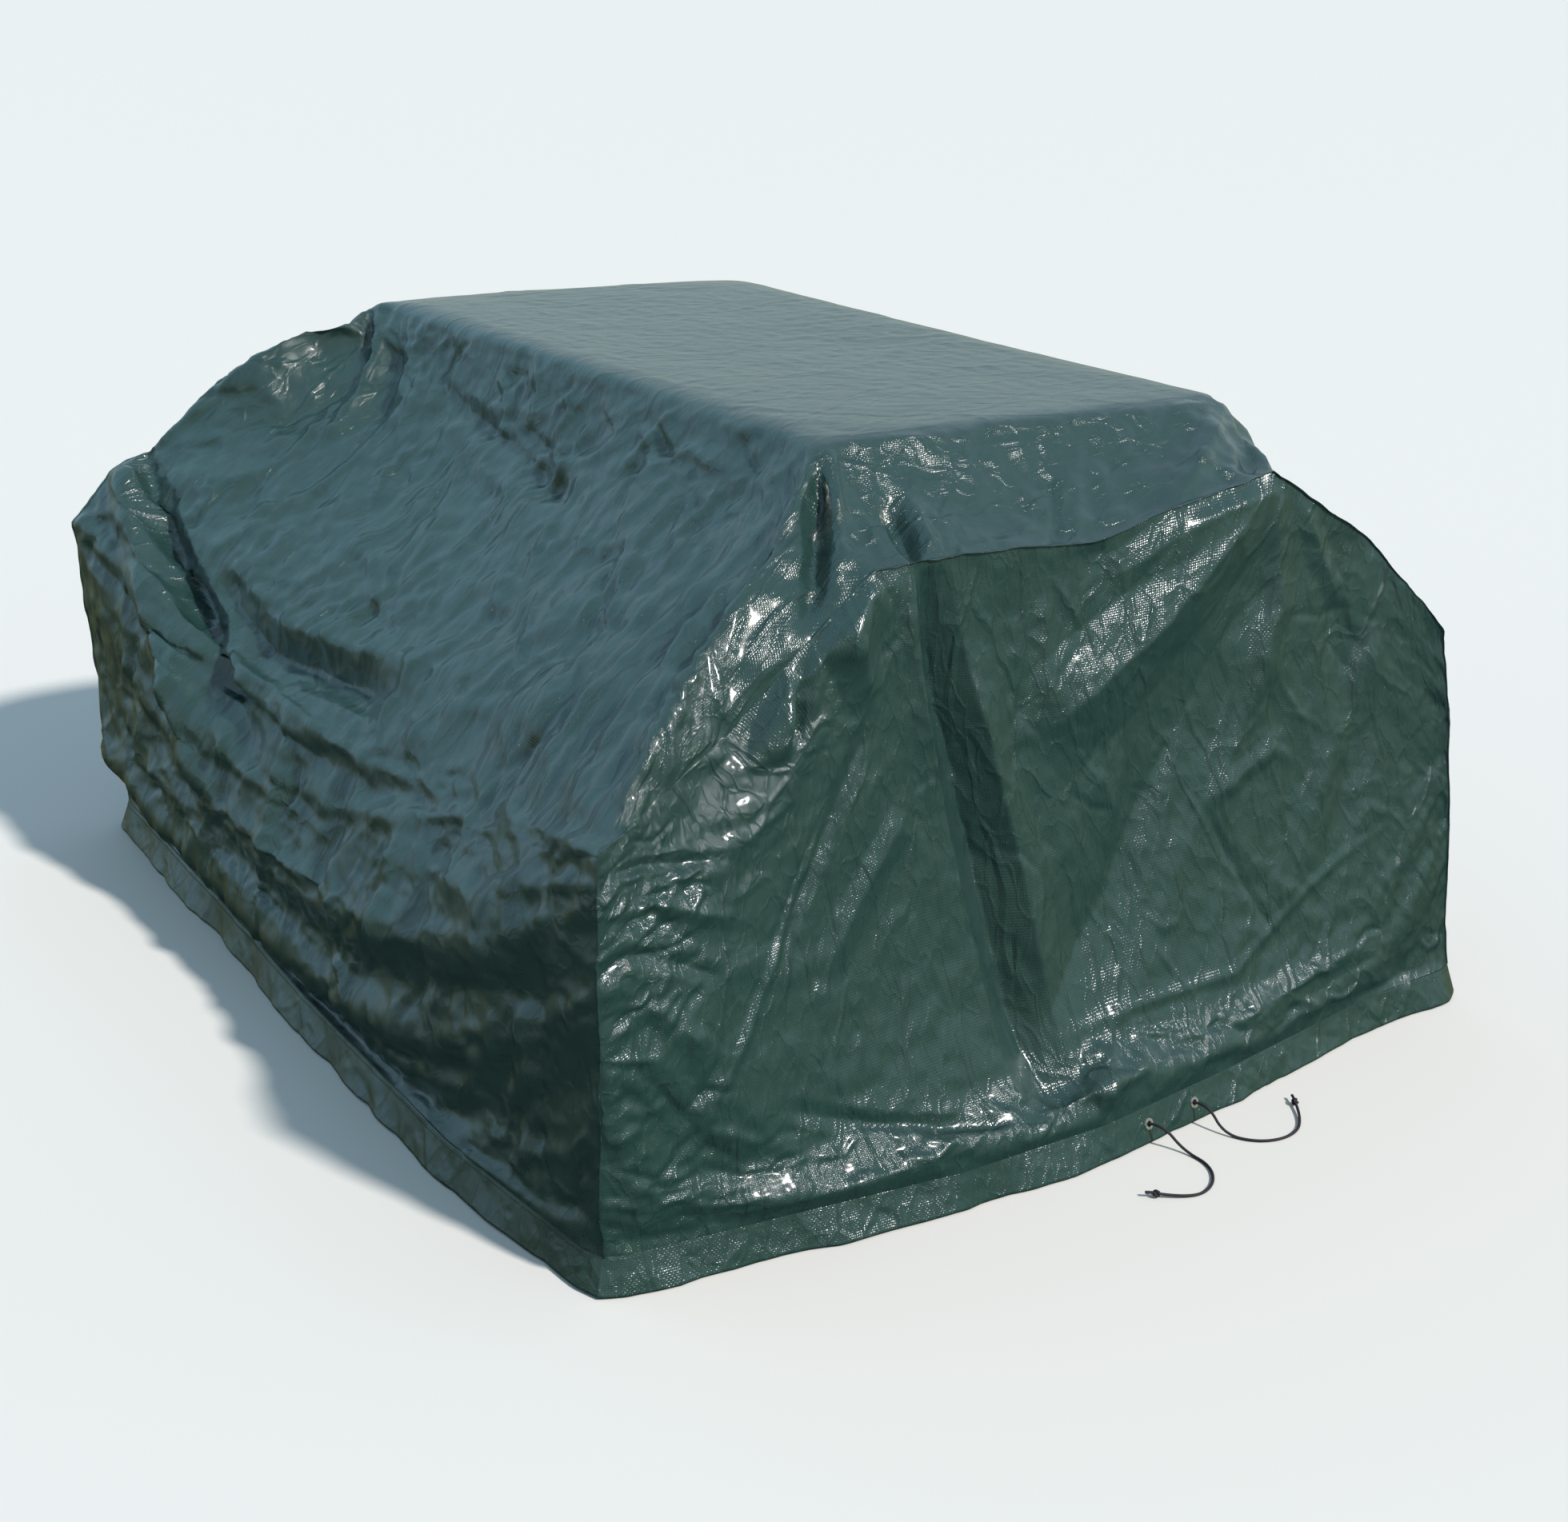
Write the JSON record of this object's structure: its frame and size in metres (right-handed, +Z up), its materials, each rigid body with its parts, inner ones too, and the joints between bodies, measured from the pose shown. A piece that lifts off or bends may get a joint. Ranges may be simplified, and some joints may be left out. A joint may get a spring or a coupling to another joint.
{
  "type": "spa cover",
  "caption": "Box-shaped weather cover of woven polyethylene draped over a raised top, with sewn end panels, a folded drawcord hem and two metal eyelets.",
  "frame": {"origin": "on the ground, at the middle of the bounding box of the cover without its loose cord ends", "axes": "+Z up, +X to the right along the front panel, +Y from the front panel (with the eyelets) towards the back panel"},
  "size_m": [1.642, 2.044, 0.945],
  "materials": {
    "woven_sheet": "glossy coated woven tape, dark green",
    "thread": "dark green sewing thread",
    "cord": "dark braided cord",
    "eyelet_metal": "satin pressed metal"
  },
  "bodies": {
    "root": {"wrap_panel": "woven_sheet", "front_panel": "woven_sheet", "back_panel": "woven_sheet", "front_seam": "woven_sheet", "back_seam": "woven_sheet", "front_hem": "woven_sheet", "right_hem": "woven_sheet", "back_hem": "woven_sheet", "left_hem": "woven_sheet", "front_hem_stitch": "thread", "right_hem_stitch": "thread", "back_hem_stitch": "thread", "left_hem_stitch": "thread", "draw_cord": "cord", "cord_tail_left": "cord", "cord_tail_right": "cord", "end_knot_left": "cord", "end_knot_right": "cord", "eyelet_left": "eyelet_metal", "eyelet_right": "eyelet_metal", "washer_left": "eyelet_metal", "washer_right": "eyelet_metal"}
  },
  "joints": []
}
